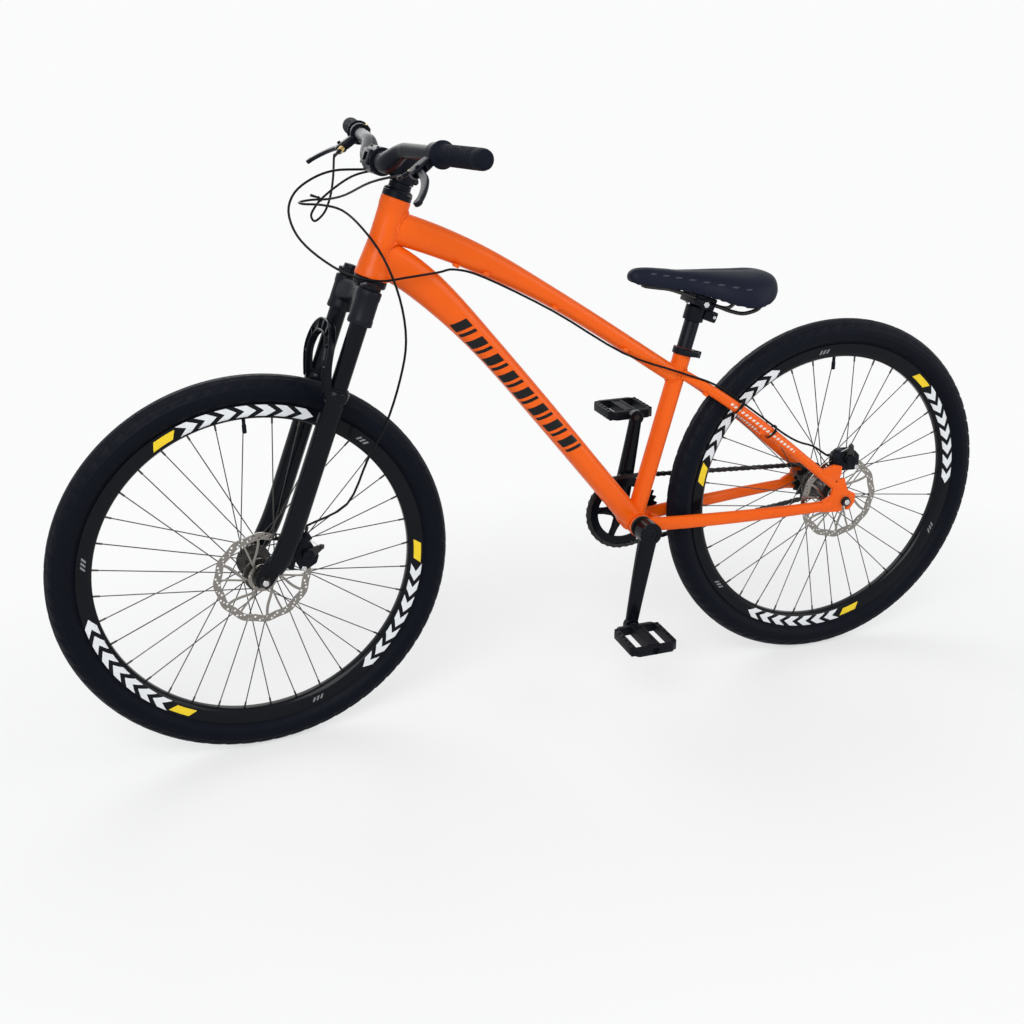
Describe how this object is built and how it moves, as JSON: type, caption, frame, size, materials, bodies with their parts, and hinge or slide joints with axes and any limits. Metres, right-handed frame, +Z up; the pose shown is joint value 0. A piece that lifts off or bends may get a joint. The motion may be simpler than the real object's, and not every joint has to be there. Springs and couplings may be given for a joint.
{
  "type": "bicycle",
  "caption": "Hardtail bicycle with a sprung front fork, cable disc brakes, a single-speed chain drive and turned handlebar.",
  "frame": {"origin": "on the ground, midway between the two wheel axles, in the bicycle's middle plane", "axes": "+X forwards, +Y to the rider's left, +Z up; the fork and handlebar are turned 5 degrees to the left at rest"},
  "size_m": [1.7368, 0.6384, 1.0206],
  "materials": {
    "frame_paint": "bright orange satin paint on aluminium tube",
    "black_paint": "gloss black paint",
    "black_alloy": "black anodised",
    "steel": "bare steel",
    "dark_steel": "blackened steel",
    "tyre_rubber": "black tyre rubber",
    "grip_rubber": "soft black rubber",
    "plastic": "moulded black plastic",
    "saddle_cover": "black padded cover",
    "cable_sleeve": "black cable housing"
  },
  "bodies": {
    "frame": {"frame": "frame_paint", "headset_lower_bearing": "black_alloy", "headset_upper_bearing": "black_alloy", "seat_clamp_collar": "black_alloy", "bottom_bracket_cartridge": "dark_steel", "rear_axle": "steel", "rear_left_nut": "steel", "rear_right_nut": "steel", "rear_caliper": "black_alloy", "chain": "dark_steel", "rear_brake_cable": "cable_sleeve"},
    "steering": {"headset_top_cover": "black_alloy", "fork_crown_and_steerer": "black_paint", "left_stanchion": "black_paint", "right_stanchion": "black_paint", "left_fork_cap": "black_alloy", "stem": "black_alloy", "stem_faceplate": "black_alloy", "stem_cap": "black_alloy", "handlebar": "black_alloy", "left_grip": "grip_rubber", "right_grip": "grip_rubber", "left_lever_perch": "black_alloy", "right_lever_perch": "black_alloy", "front_brake_cable": "cable_sleeve"},
    "preload_knob": {"preload_knob": "black_alloy"},
    "fork_lowers": {"fork_lowers": "black_paint", "front_axle": "steel", "front_left_nut": "steel", "front_right_nut": "steel", "front_caliper": "black_alloy"},
    "front_wheel": {"front_tyre": "tyre_rubber", "front_inner_tube": "tyre_rubber", "front_rim": "black_alloy", "front_hub_and_spokes": "black_alloy", "front_brake_rotor": "steel"},
    "rear_wheel": {"rear_tyre": "tyre_rubber", "rear_inner_tube": "tyre_rubber", "rear_rim": "black_alloy", "rear_hub_and_spokes": "black_alloy", "rear_brake_rotor": "steel"},
    "cranks": {"crank_spindle": "steel", "left_crank": "black_paint", "right_crank": "black_paint", "chainring": "black_paint", "left_pedal_axle": "dark_steel", "right_pedal_axle": "dark_steel"},
    "left_pedal": {"left_pedal": "plastic"},
    "right_pedal": {"right_pedal": "plastic"},
    "sprocket": {"rear_sprocket": "dark_steel"},
    "seat": {"seatpost": "black_alloy", "saddle_clamp": "dark_steel", "saddle_rails": "dark_steel", "saddle_shell": "plastic", "saddle": "saddle_cover"},
    "seat_clamp_lever": {"seat_clamp_lever": "black_alloy"},
    "left_brake_lever": {"left_brake_lever": "black_alloy"},
    "right_brake_lever": {"right_brake_lever": "black_alloy"},
    "front_caliper_arm": {"front_caliper_arm": "dark_steel"},
    "rear_caliper_arm": {"rear_caliper_arm": "dark_steel"}
  },
  "joints": [
    {"name": "steering", "type": "hinge", "parent": "frame", "child": "steering", "pos_m": [0.50737, 0, 0.31754], "axis": [-0.3665, 0, 0.9304], "range_deg": [-60, 50], "deforming": ["rear_brake_cable"]},
    {"name": "fork_travel", "type": "slide", "parent": "steering", "child": "fork_lowers", "axis": [-0.3665, 0, 0.9304], "range_m": [0, 0.08], "stiffness_N_per_m": 9000, "springref_m": -0.01, "deforming": ["front_brake_cable"]},
    {"name": "preload_turn", "type": "hinge", "parent": "steering", "child": "preload_knob", "pos_m": [0.34428, -0.05738, 0.78908], "axis": [-0.3665, 0, 0.9304], "range_deg": [0, 720]},
    {"name": "front_wheel_spin", "type": "hinge", "parent": "fork_lowers", "child": "front_wheel", "pos_m": [0.53888, 0.00296, 0.32995], "axis": [-0.0811, 0.9962, -0.0319], "continuous": true},
    {"name": "rear_wheel_spin", "type": "hinge", "parent": "frame", "child": "rear_wheel", "pos_m": [-0.539, 0, 0.33], "axis": [0, 1, 0], "continuous": true},
    {"name": "crank_spin", "type": "hinge", "parent": "frame", "child": "cranks", "pos_m": [-0.141, 0, 0.32], "axis": [0, 1, 0], "continuous": true, "deforming": ["chain"]},
    {"name": "sprocket_spin", "type": "hinge", "parent": "frame", "child": "sprocket", "pos_m": [-0.539, 0, 0.33], "axis": [0, 1, 0], "continuous": true},
    {"name": "left_pedal_spin", "type": "hinge", "parent": "cranks", "child": "left_pedal", "pos_m": [-0.10611, 0.1368, 0.14851], "axis": [0, 1, 0], "continuous": true},
    {"name": "right_pedal_spin", "type": "hinge", "parent": "cranks", "child": "right_pedal", "pos_m": [-0.17589, -0.1368, 0.49149], "axis": [0, 1, 0], "continuous": true},
    {"name": "seatpost_height", "type": "slide", "parent": "frame", "child": "seat", "axis": [-0.2756, 0, 0.9613], "range_m": [-0.04, 0.06]},
    {"name": "seat_clamp_open", "type": "hinge", "parent": "frame", "child": "seat_clamp_lever", "pos_m": [-0.25645, 0.00306, 0.61937], "axis": [-0.2756, 0, 0.9613], "range_deg": [0, 150]},
    {"name": "left_brake_pull", "type": "hinge", "parent": "steering", "child": "left_brake_lever", "pos_m": [0.28455, 0.20272, 0.96688], "axis": [0.5379, 0.1353, 0.832], "range_deg": [0, 22], "stiffness_Nm_per_rad": 1.5, "springref_deg": -5.73},
    {"name": "right_brake_pull", "type": "hinge", "parent": "steering", "child": "right_brake_lever", "pos_m": [0.31687, -0.19432, 0.97961], "axis": [-0.5484, -0.0066, -0.8362], "range_deg": [0, 22], "stiffness_Nm_per_rad": 1.5, "springref_deg": -5.73},
    {"name": "front_caliper_pull", "type": "hinge", "parent": "fork_lowers", "child": "front_caliper_arm", "pos_m": [0.46196, 0.04759, 0.36098], "axis": [-0.0811, 0.9962, -0.0319], "range_deg": [0, 18]},
    {"name": "rear_caliper_pull", "type": "hinge", "parent": "frame", "child": "rear_caliper_arm", "pos_m": [-0.54319, 0.0672, 0.40989], "axis": [0, 1, 0], "range_deg": [0, 18]}
  ],
  "couplings": [
    {"joint": "sprocket_spin", "follows": "crank_spin", "ratio": 2},
    {"joint": "front_caliper_pull", "follows": "left_brake_pull", "ratio": 0.8},
    {"joint": "rear_caliper_pull", "follows": "right_brake_pull", "ratio": 0.8}
  ]
}
